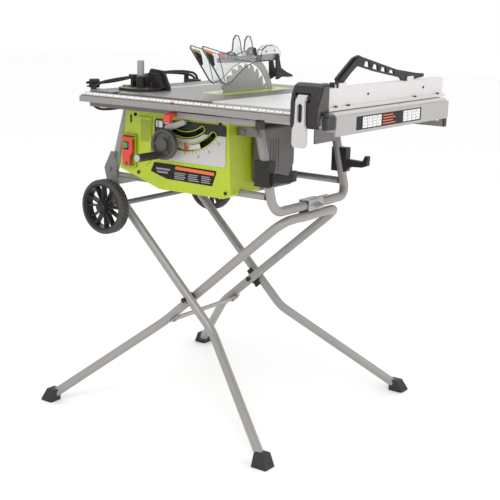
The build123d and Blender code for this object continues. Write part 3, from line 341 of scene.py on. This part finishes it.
LIME = (0.40, 0.50, 0.012)
ALONG_X, ALONG_Y, EVEN = (0.02, 1, 1), (1, 0.02, 1), (1, 1, 1)
M = {
    "table": finish("table_aluminium", (0.165, 0.155, 0.145), 0.46, 0.25, 0.15, (700, ALONG_Y), 0.0001, 0.2,
                    worn=(0.4, 0.4, 0.4)),
    "extension": finish("extension_aluminium", (0.56, 0.55, 0.54), 0.40, 0.2, 0.06, (800, ALONG_Y),
                        0.0001, 0.2, worn=(0.75, 0.75, 0.75)),
    "rail": finish("rail_aluminium", (0.29, 0.275, 0.265), 0.40, 0.3, 0.08, (900, ALONG_X), 0.0001, 0.25,
                   worn=(0.5, 0.5, 0.5), paint=rail_ends),
    "ruler": finish("ruler_print", (0.30, 0.29, 0.28), 0.38, 0.1, 0.05, coat=0.2, paint=inches),
    "lime": finish("lime_shell", LIME, 0.36, 0.0, 0.07, (1500, EVEN), 0.00008, 0.2,
                   worn=(0.52, 0.62, 0.10), rounding=0.0016, coat=0.12),
    # A darker copy of the lime: painted shade for the switch bezel, where it sits in its recess.
    "recess": finish("lime_recess_shade", (0.27, 0.34, 0.012), 0.45, 0.0, 0.08, paint=switch_window),
    "dark": finish("dark_plastic", (0.075, 0.07, 0.068), 0.5, 0.0, 0.2, (1300, EVEN),
                   worn=(0.18, 0.18, 0.18)),
    "grey": finish("grey_plastic", (0.135, 0.125, 0.12), 0.5, 0.0, 0.12, (1300, EVEN),
                   worn=(0.28, 0.28, 0.28)),
    "black": finish("black_plastic", (0.024, 0.021, 0.020), 0.45, 0.0, 0.3, (1400, EVEN),
                    worn=(0.11, 0.11, 0.11), gloss_level=0.3),
    "head": finish("head_plastic", (0.030, 0.027, 0.026), 0.42, 0.0, 0.25, (1400, EVEN),
                   worn=(0.14, 0.14, 0.14), paint=head_side, gloss_level=0.3),
    "grip": finish("grip_plastic", (0.024, 0.022, 0.022), 0.5, 0.0, 0.25, (1400, EVEN), paint=grip_end),
    "panel": finish("instrument_plate", (0.52, 0.50, 0.49), 0.42, 0.1, 0.05, paint=panel_print),
    "skirt": finish("silver_paint", (0.42, 0.405, 0.395), 0.42, 0.25, 0.06, worn=(0.6, 0.6, 0.6)),
    "red": finish("red_plastic", (0.62, 0.04, 0.022), 0.32, 0.0, 0.12, (1500, EVEN), 0.0001, 0.15, coat=0.3),
    "green": finish("green_plastic", (0.02, 0.26, 0.08), 0.3, 0.0, 0.12, coat=0.3),
    "legs": finish("powder_coat", (0.32, 0.305, 0.295), 0.40, 0.3, 0.1, (1600, EVEN), 0.0001, 0.35,
                   worn=(0.45, 0.45, 0.45)),
    "steel": finish("zinc_steel", (0.42, 0.41, 0.40), 0.34, 0.6, 0.12, (600, EVEN), worn=(0.7, 0.7, 0.7)),
    "silver": finish("satin_silver", (0.44, 0.43, 0.42), 0.36, 0.5, 0.08, (1200, EVEN), worn=(0.7, 0.7, 0.7)),
    "bracket": finish("bracket_steel", (0.20, 0.19, 0.185), 0.42, 0.4, 0.1, (1200, EVEN),
                      worn=(0.5, 0.5, 0.5), paint=dark_bolts),
    "blade": finish("blade_steel", (0.40, 0.39, 0.38), 0.32, 0.6, 0.08, paint=blade_rings, rounding=0.0004),
    "cast": finish("die_cast", (0.20, 0.20, 0.20), 0.55, 0.4, 0.15, (1000, EVEN), 0.0002, 0.4),
    "tyre": finish("tyre_rubber", (0.05, 0.044, 0.042), 0.62, 0.0, 0.35, (1100, EVEN), 0.0002, 0.4,
                   worn=(0.1, 0.1, 0.1), rounding=0.0012),
    "rubber": finish("foot_rubber", (0.022, 0.021, 0.021), 0.66, 0.0, 0.35, worn=(0.09, 0.09, 0.09),
                     rounding=0.0018),
    "cord": finish("cord_rubber", (0.018, 0.017, 0.017), 0.55, 0.0, 0.3, (1200, EVEN)),
    "beam": finish("fence_aluminium", (0.66, 0.64, 0.635), 0.38, 0.15, 0.04, (900, ALONG_Y), 0.00008, 0.2,
                   worn=(0.8, 0.8, 0.8)),
    "lever": finish("light_grey_plastic", (0.50, 0.49, 0.485), 0.42, 0.0, 0.05, worn=(0.62, 0.62, 0.62),
                    rounding=0.0015),
    "knob": finish("knob_grey_plastic", (0.33, 0.33, 0.33), 0.42, 0.0, 0.08, rounding=0.0012),
    # A darker copy of the lime: painted shade on the moulded step.
    "lime_in_shade": finish("shaded_lime", (0.28, 0.35, 0.012), 0.4, 0.0, 0.08),
    "orange": finish("label_orange", (0.70, 0.15, 0.03), 0.4, 0.0, 0.06),
    "yellow": finish("label_yellow", (0.42, 0.28, 0.05), 0.4, 0.0, 0.06),
    "label": finish("label_black", (0.012, 0.012, 0.012), 0.42, 0.0, 0.2, gloss_level=0.2),
    "label_grey": finish("label_grey", (0.30, 0.29, 0.29), 0.4, 0.0, 0.1),
    "white": finish("label_white", (0.78, 0.78, 0.77), 0.4, 0.0, 0.04),
    "clear": clear_plastic("clear_guard", (0.93, 0.95, 0.94), 0.9),
    "rim": clear_plastic("guard_rim", (0.16, 0.16, 0.16), 0.5),
    "smoke": clear_plastic("smoked_guard", (0.30, 0.28, 0.27), 0.55),
}

NODE_FINISH = {
    "table": ["main_table"],
    "extension": ["extension_table"],
    "rail": ["front_rail", "rear_rail", "lower_guide_rail"],
    "ruler": ["ruler_strip"],
    "lime": ["throat_plate", "front_housing"],
    "dark": ["rear_housing", "handwheel", "motor_housing"],
    # The switch bezel takes the darker lime as painted shade.
    "recess": ["switch_bezel"],
    "smoke": ["guard_arm"],
    "head": ["fence_head"],
    "grip": ["crank_grip"],
    "silver": ["bevel_lock_lever"],
    "bracket": ["frame_brackets"],
    "grey": ["side_cover"],
    "black": ["storage_hooks", "pivot_bolts", "push_stick", "miter_head", "blade_shroud",
              "anti_kickback_pawls", "cord_hooks_and_gland", "front_wheel_hub", "rear_wheel_hub"],
    "panel": ["control_panel"],
    "skirt": ["side_skirt"],
    "red": ["rail_lock_lever", "bevel_pointer", "guard_knob", "switch_paddle"],
    "green": ["start_button"],
    "legs": ["u_tubes", "outer_legs", "inner_legs", "leg_brace"],
    "steel": ["latch_pedal", "slide_tubes", "miter_bar", "lift_screw",
              "riving_knife", "arbor", "armature"],
    "blade": ["saw_blade"],
    "cast": ["trunnions", "bevel_carriage", "gear_case"],
    "tyre": ["front_wheel_tyre", "rear_wheel_tyre"],
    "rubber": ["outer_feet", "inner_feet"],
    "cord": ["cord_plug"],
    "beam": ["fence_beam"],
    "lever": ["fence_lever"],
    "knob": ["miter_knob"],
    "clear": ["left_barrier", "right_barrier"],
}


def dress_nodes():
    """Give every CAD node its material and smooth shading across gentle edges."""
    for key, names in NODE_FINISH.items():
        for name in names:
            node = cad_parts[name]
            node.data.materials.clear()
            node.data.materials.append(M[key])
            for face in node.data.polygons:
                face.use_smooth = True
            node.data.set_sharp_from_angle(angle=SMALL_ANGLE)


dress_nodes()
CORD_OBJECT.data.materials.append(M["cord"])


# ------------------------------------------------------------------ mesh helpers

def piece(name, mesh_builder, material, body, bevel=0.0):
    """A new piece from a bmesh, with softened edges, riding on a body."""
    mesh = bpy.data.meshes.new(name)
    mesh_builder.normal_update()
    bmesh.ops.recalc_face_normals(mesh_builder, faces=mesh_builder.faces)
    if bevel:
        bmesh.ops.bevel(mesh_builder, geom=list(mesh_builder.edges), offset=bevel, segments=2, affect="EDGES",
                        clamp_overlap=True)
    mesh_builder.to_mesh(mesh)
    mesh_builder.free()
    thing = bpy.data.objects.new(name, mesh)
    mesh.materials.append(M[material])
    bpy.context.scene.collection.objects.link(thing)
    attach(thing, body)


def add_prism(builder, points, lift, origin, u_axis, v_axis):
    """Extrude a flat outline, given in mm along two axes, by `lift` mm along their cross product."""
    u_axis, v_axis = Vector(u_axis), Vector(v_axis)
    normal = u_axis.cross(v_axis).normalized()
    base = [Vector(origin) * MM + (u_axis * u + v_axis * v) * MM for u, v in points]
    low = [builder.verts.new(place) for place in base]
    high = [builder.verts.new(place + normal * lift * MM) for place in base]
    count = len(points)
    builder.faces.new(low[::-1])
    builder.faces.new(high)
    for i in range(count):
        j = (i + 1) % count
        builder.faces.new((low[i], low[j], high[j], high[i]))


def add_lathe(builder, profile, centre, axis, steps=32):
    """Turn a profile of (distance along the axis, radius) pairs, in mm, about an axis."""
    axis = Vector(axis).normalized()
    side = axis.orthogonal().normalized()
    other = axis.cross(side)
    rings = []
    for along, radius in profile:
        middle = (Vector(centre) + axis * along) * MM
        if radius == 0:
            rings.append([builder.verts.new(middle)])
            continue
        ring = []
        for i in range(steps):
            turn = 2 * pi * i / steps
            ring.append(builder.verts.new(middle + (side * cos(turn) + other * sin(turn)) * radius * MM))
        rings.append(ring)
    for low, high in zip(rings, rings[1:]):
        for i in range(steps):
            j = (i + 1) % steps
            if len(low) == 1:
                builder.faces.new((low[0], high[j], high[i]))
            elif len(high) == 1:
                builder.faces.new((low[i], low[j], high[0]))
            else:
                builder.faces.new((low[i], low[j], high[j], high[i]))


def box_points(u0, u1, v0, v1):
    """Corners of a rectangle."""
    return [(u0, v0), (u1, v0), (u1, v1), (u0, v1)]


FRONT = dict(u_axis=(1, 0, 0), v_axis=(0, 0, 1))
RIGHT = dict(u_axis=(0, 1, 0), v_axis=(0, 0, 1))


# ------------------------------------------------------------------ labels and marks

def arc_points(r0, r1, a0, a1, steps=12):
    """A ring part about the bevel pivot as (X, Z) in mm; angles from straight down, plus to the right."""
    turns = [radians(a0 + (a1 - a0) * i / steps) for i in range(steps + 1)]
    outer = [(PIVOT_X / MM + r1 * sin(t), PIVOT_Z / MM - r1 * cos(t)) for t in turns]
    inner = [(PIVOT_X / MM + r0 * sin(t), PIVOT_Z / MM - r0 * cos(t)) for t in reversed(turns)]
    return outer + inner


def panel_marks():
    """Three open triangles and the tick marks of the bevel scale."""
    marks = bmesh.new()
    scale_radius, triangle_radius, triangle_size = 150, 163, 5
    for angle in (17, 31, 45):
        t = radians(angle)
        x, z = PIVOT_X / MM + triangle_radius * sin(t), PIVOT_Z / MM - triangle_radius * cos(t)
        corners = [(x + triangle_size * sin(t + radians(k)), z - triangle_size * cos(t + radians(k)))
                   for k in (180, 60, -60)]
        for i in range(3):
            (ax, az), (bx, bz) = corners[i], corners[(i + 1) % 3]
            way = Vector((bx - ax, bz - az)).normalized() * 0.7
            add_prism(marks, [(ax, az), (bx, bz), (bx - way.y, bz + way.x), (ax - way.y, az + way.x)], 0.35,
                      (0, PLATE_FACE, 0), **FRONT)
    for step in range(10):
        angle = 5 * step
        length = 4.5 if step % 3 == 0 else 2.8
        mark = arc_points(scale_radius, scale_radius + length, angle - 0.2, angle + 0.2, 1)
        add_prism(marks, mark, 0.3, (0, PLATE_FACE, 0), **FRONT)
    piece("bevel_scale_marks", marks, "label", "base")


def data_label():
    """Blank data plate below the instrument plate: black, with orange and grey blocks."""
    plate = bmesh.new()
    outline = [(-158, 735), (-170, 708), (-112, 692), (46, 690), (60, 728), (58, 733)]
    add_prism(plate, outline, 1.2, (0, BODY_FACE, 0), **FRONT)
    piece("data_label", plate, "label", "base", 0.3)
    orange = bmesh.new()
    add_prism(orange, [(-82, 722), (52, 719), (54, 728), (-80, 731)], 0.4, (0, DATA_PLATE_FACE, 0), **FRONT)
    piece("data_label_orange", orange, "orange", "base")
    grey = bmesh.new()
    for column, left in enumerate((-84, -36, 10)):
        for row in range(4):
            width = (40, 38, 34)[column] - (row * 5 + column * 3) % 9
            z = 714 - 5.2 * row
            line = box_points(left, left + width, z - 2.6, z)
            add_prism(grey, line, 0.35, (0, DATA_PLATE_FACE, 0), **FRONT)
    for row in range(2):
        add_prism(grey, box_points(-150 + 4 * row, -100 - 8 * row, 716 - 9 * row, 721 - 9 * row), 0.35,
                  (0, DATA_PLATE_FACE, 0), **FRONT)
    piece("data_label_grey", grey, "label_grey", "base")


def panel_badge():
    """Plain white block and line where the plate carries its size mark."""
    badge = bmesh.new()
    for u0, u1, v0, v1 in ((-150, -145, 834, 852), (-141, -127, 834, 852), (-120, -102, 845, 848)):
        add_prism(badge, box_points(u0, u1, v0, v1), 0.35, (0, PLATE_FACE, 0), **FRONT)
    piece("panel_badge", badge, "white", "base")


def skirt_labels():
    """Generic instruction strip on the right skirt: dark blocks, white cells and small marks."""
    back = bmesh.new()
    cells = bmesh.new()
    marks = bmesh.new()
    stripes = bmesh.new()
    strokes = ((2, 4, 13, 2), (4, 9, 2, 8), (10, 12, 9, 2), (6, 18, 4, 6), (15, 19, 4, 4))
    add_prism(back, box_points(-204, 148, 876, 910), 0.25, (SKIRT_FACE, 0, 0), **RIGHT)
    for start in (-172, 44):
        for i in range(4):
            y = start + 24.5 * i
            add_prism(cells, box_points(y, y + 22.5, 879, 907), 0.1, (STRIP_FACE, 0, 0), **RIGHT)
            for k, (u, v, w, h) in enumerate(strokes):
                shift = (i * 3 + k * 2) % 4
                add_prism(marks, box_points(y + u, y + u + w - shift * 0.4, 880 + v, 880 + v + h), 0.08,
                          (CELL_FACE, 0, 0), **RIGHT)
    for row in range(4):
        z = 881 + 7 * row
        add_prism(stripes, box_points(-68, 0 - (row % 2) * 14, z, z + 2.8), 0.1, (STRIP_FACE, 0, 0), **RIGHT)
    piece("skirt_label", back, "label", "extension")
    piece("skirt_label_cells", cells, "white", "extension")
    piece("skirt_label_marks", marks, "label_grey", "extension")
    piece("skirt_label_stripes", stripes, "orange", "extension")


def barrier_face(side):
    """X in mm of the right face of the left (-1) or right (1) barrier."""
    return PIVOT_X / MM + side * BARRIER_SIDE + BARRIER_HALF


def guard_labels():
    """Dark labels with a coloured top on the front lips of the barriers."""
    for side, name, body in ((-1, "left", "barrier_left"), (1, "right", "barrier_right")):
        face = barrier_face(side)
        dark = bmesh.new()
        add_prism(dark, [(-184, 1043), (-150, 1032), (-142, 1006), (-149, 1003), (-190, 1047)], 0.4,
                  (face, 0, 0), **RIGHT)
        piece(f"{name}_guard_label", dark, "label", body)
        top = bmesh.new()
        add_prism(top, [(-193, 1051), (-158, 1043), (-152, 1033), (-187, 1044)], 0.6, (face, 0, 0), **RIGHT)
        piece(f"{name}_guard_label_top", top, "yellow" if side < 0 else "orange", body)


def guard_hardware():
    """Hinge block, release block, clear rear cover, screws and side knob on the arm of the guard."""
    block = bmesh.new()
    add_prism(block, [(22, 1024), (34, 1046), (62, 1051), (92, 1043), (100, 1024)], 14, (-55, 0, 0), **RIGHT)
    piece("guard_hinge_block", block, "black", "lift", 0.8)
    lock = bmesh.new()
    add_prism(lock, [(-66, 1021), (-60, 1034), (-30, 1038), (-6, 1030), (0, 1021)], 10, (-53, 0, 0), **RIGHT)
    piece("guard_release_block", lock, "black", "lift", 0.8)
    cover = bmesh.new()
    cheek = [(98, 1008), (104, 1040), (128, 1052), (160, 1054), (186, 1046), (204, 1030), (196, 1008)]
    for x in (-57, -41):
        add_prism(cover, cheek, 2, (x, 0, 0), **RIGHT)
    roof = [(104, 1040), (128, 1052), (160, 1054), (160, 1052), (128, 1050), (105, 1038)]
    add_prism(cover, roof, 14, (-55, 0, 0), **RIGHT)
    piece("guard_rear_cover", cover, "clear", "lift", 0.4)
    screws = bmesh.new()
    profile = [(0, 4.2), (1.6, 3.8), (2.2, 2.4), (1.4, 2.0), (1.0, 0)]
    for x, y, z in ((-41, 46, 1036), (-41, 80, 1034), (-39, 124, 1036), (-39, 168, 1038)):
        add_lathe(screws, profile, (x, y, z), (1, 0, 0), 18)
    piece("guard_screws", screws, "silver", "lift")
    knob = bmesh.new()
    profile = [(0, 7.5), (1, 9.5), (9, 9.5), (10, 8.2), (10.6, 3), (9.8, 0)]
    add_lathe(knob, profile, (-43, -50, 1027), (1, 0, 0), 12)
    piece("guard_side_knob", knob, "knob", "lift", 0.3)


BARRIER_EDGE = [(67, 1011), (67, 1021), (43, 1029), (33, 1065), (23, 1081), (10, 1083), (-1, 1071),
                (-5, 1039), (-60, 1029), (-150, 1049), (-195, 1059), (-199, 1052), (-149, 1001),
                (-110, 959.5), (-90, 951), (-61, 957), (-1, 993), (43, 1007)]


def guard_edges():
    """Thickened dark edges of the clear barriers, and two moulded ribs on each."""
    rim_width, rim_height = 1.5, 0.5
    for side, name in ((-1, "left"), (1, "right")):
        outer = barrier_face(side)
        inner = outer - 2 * BARRIER_HALF - rim_height
        rim = bmesh.new()
        for start, end in zip(BARRIER_EDGE, BARRIER_EDGE[1:] + BARRIER_EDGE[:1]):
            inset = (Vector(end) - Vector(start)).normalized() * rim_width
            strip = [start, end, (end[0] - inset.y, end[1] + inset.x),
                     (start[0] - inset.y, start[1] + inset.x)]
            add_prism(rim, strip, rim_height, (outer, 0, 0), **RIGHT)
            add_prism(rim, strip, rim_height, (inner, 0, 0), **RIGHT)
        for strip in ([(-128, 1038), (-126, 1038.5), (-94, 962), (-96, 961.5)],
                      [(-60, 1020), (-58, 1021), (34, 1010), (33, 1008)]):
            add_prism(rim, strip, 0.9, (outer, 0, 0), **RIGHT)
        piece(f"{name}_barrier_rim", rim, "rim", f"barrier_{name}")


def stick_grips():
    """Rounded grip shells on both sides of the push stick's handle."""
    thickness = 6
    grips = bmesh.new()
    handle = [(-244, 997), (-243, 1004), (-168, 1050), (-150, 1054), (-146, 1040), (-160, 1028), (-222, 994)]
    for x in (414.4, 426.6):
        add_prism(grips, handle, thickness, (x, 0, 0), **RIGHT)
    piece("push_stick_grips", grips, "black", "stored_push_stick", 1.6)


def miter_cursor():
    """Lime pointer at the left of the miter gauge's plate, and the marks of its scale."""
    cursor = bmesh.new()
    arrow = [(-324, -190), (-308, -200), (-292, -198), (-292, -182), (-308, -180)]
    add_prism(cursor, arrow, 4.2, (0, 0, 932.9), (1, 0, 0), (0, 1, 0))
    piece("miter_cursor", cursor, "lime", "miter_gauge", 0.8)
    marks = bmesh.new()
    outer, short, long, half_width = 59, 54, 51, 0.35
    for step in range(-12, 13):
        t = radians(5 * step - 90)
        inner = short if step % 3 else long
        way, turn = Vector((cos(t), sin(t))), Vector((-sin(t), cos(t))) * half_width
        corners = [way * inner - turn, way * outer - turn, way * outer + turn, way * inner + turn]
        mark = [(c.x + MITER_X, c.y + MITER_Y) for c in corners]
        add_prism(marks, mark, 0.25, (0, 0, 933), (1, 0, 0), (0, 1, 0))
    piece("miter_scale_marks", marks, "white", "miter_gauge")


def slot_shade_sheet():
    """Black sheet behind the arc slots as painted shade in the openings, and the pale cover in the lower
    slot; both tilt with the carriage.
    """
    shade_sheet = bmesh.new()
    # Painted shade: a black sheet behind the arc slots so that the openings read dark.
    add_prism(shade_sheet, arc_points(93, 150, -50, 20, 24), 1.0, (0, -232, 0), **FRONT)
    piece("slot_shade_sheet", shade_sheet, "label", "carriage")
    cover = bmesh.new()
    add_prism(cover, arc_points(128, 144, -14, 20, 12), 1.0, (0, -233.4, 0), **FRONT)
    piece("slot_cover", cover, "white", "carriage", 0.2)


def small_hardware():
    """Wheel caps, housing screws, fence screws and the rail pointer."""
    for name, y in (("front", -254), ("rear", 254)):
        cap = bmesh.new()
        way = -1 if y < 0 else 1
        profile = [(0, 13.5), (2.5, 13.5), (5, 11.5), (6.2, 7), (6.6, 0)]
        wheel_half = 23
        add_lathe(cap, profile, (-330, y + way * wheel_half, 587), (0, way, 0))
        piece(f"{name}_wheel_cap", cap, "black", "base")
    screws = bmesh.new()
    profile = [(0, 5.4), (1.6, 5.0), (2.2, 3.4), (1.2, 2.6), (0.6, 0)]
    for x, z in ((-228, 862), (70, 862)):
        add_lathe(screws, profile, (x, BODY_FACE, z), (0, -1, 0), 20)
    piece("housing_screws", screws, "label", "base")
    fence = bmesh.new()
    profile = [(0, 3.6), (1.4, 3.2), (1.8, 2.2), (0.9, 1.8), (0.5, 0)]
    for y in (-95, 215):
        add_lathe(fence, profile, (430, y, 958), (1, 0, 0), 16)
    piece("fence_side_screws", fence, "label", "fence")
    pointer = bmesh.new()
    outline = [(-5, 0), (5, 0), (6, 5), (0, 11), (-6, 5)]
    add_prism(pointer, outline, 2.2, (-20, -337, 914.2), (1, 0, 0), (0, 0.94, 0.34))
    piece("rail_pointer", pointer, "red", "extension", 0.5)


def lime_shading():
    """Shallow moulded step in darker lime as painted shade, and a black sheet as painted shade in the finger
    slot, at the upper left of the body.
    """
    step = bmesh.new()
    outline = [(-205, 850), (-170, 850), (-170, 800), (-180, 790), (-205, 790)]
    # Painted shade: the step is a thin sheet of darker lime.
    add_prism(step, outline, 0.4, (0, -243.5, 0), **FRONT)
    piece("moulded_step_shade", step, "lime_in_shade", "base", 0.15)
    slot = bmesh.new()
    # Painted shade: a thin black sheet stands for the dark inside of the finger slot.
    add_prism(slot, box_points(-247, -241, 838, 860), 0.5, (0, BODY_FACE, 0), **FRONT)
    piece("finger_slot_shade", slot, "label", "base")


panel_marks()
data_label()
panel_badge()
skirt_labels()
guard_labels()
guard_hardware()
guard_edges()
stick_grips()
miter_cursor()
slot_shade_sheet()
small_hardware()
lime_shading()


# ------------------------------------------------------------------ floor and light

def add_floor():
    """Plain pale flat floor."""
    builder = bmesh.new()
    bmesh.ops.create_grid(builder, x_segments=8, y_segments=8, size=14)
    mesh = bpy.data.meshes.new("floor")
    builder.to_mesh(mesh)
    builder.free()
    floor = bpy.data.objects.new("floor", mesh)
    tree = Tree("floor_paper")
    paper = tree.mix(tree.noise(2), (0.97, 0.97, 0.97), (0.99, 0.99, 0.99))
    tree.wire(paper, tree.shader.inputs["Base Color"])
    tree.shader.inputs["Roughness"].default_value = 0.85
    mesh.materials.append(tree.material)
    bpy.context.scene.collection.objects.link(floor)


def add_light(name, place, target, size, power):
    """A soft square lamp that points at the target."""
    data = bpy.data.lights.new(name, "AREA")
    data.size = size
    data.energy = power
    lamp = bpy.data.objects.new(name, data)
    lamp.location = place
    lamp.rotation_euler = (Vector(target) - Vector(place)).to_track_quat("-Z", "Y").to_euler()
    bpy.context.scene.collection.objects.link(lamp)


def add_world():
    """Even white surroundings."""
    world = bpy.data.worlds.new("studio")
    world.use_nodes = True
    background = world.node_tree.nodes["Background"]
    background.inputs["Color"].default_value = (1, 1, 1, 1)
    background.inputs["Strength"].default_value = 1.0
    bpy.context.scene.world = world


add_floor()
add_world()
add_light("key", (1.2, -2.6, 3.0), (0, 0, 0.6), 2.2, 40)
add_light("fill", (3.0, 0.6, 1.8), (0, 0, 0.6), 2.5, 16)
add_light("back", (-2.4, 2.4, 2.6), (0, 0, 0.7), 2.0, 14)
bpy.context.scene.view_settings.view_transform = "Standard"
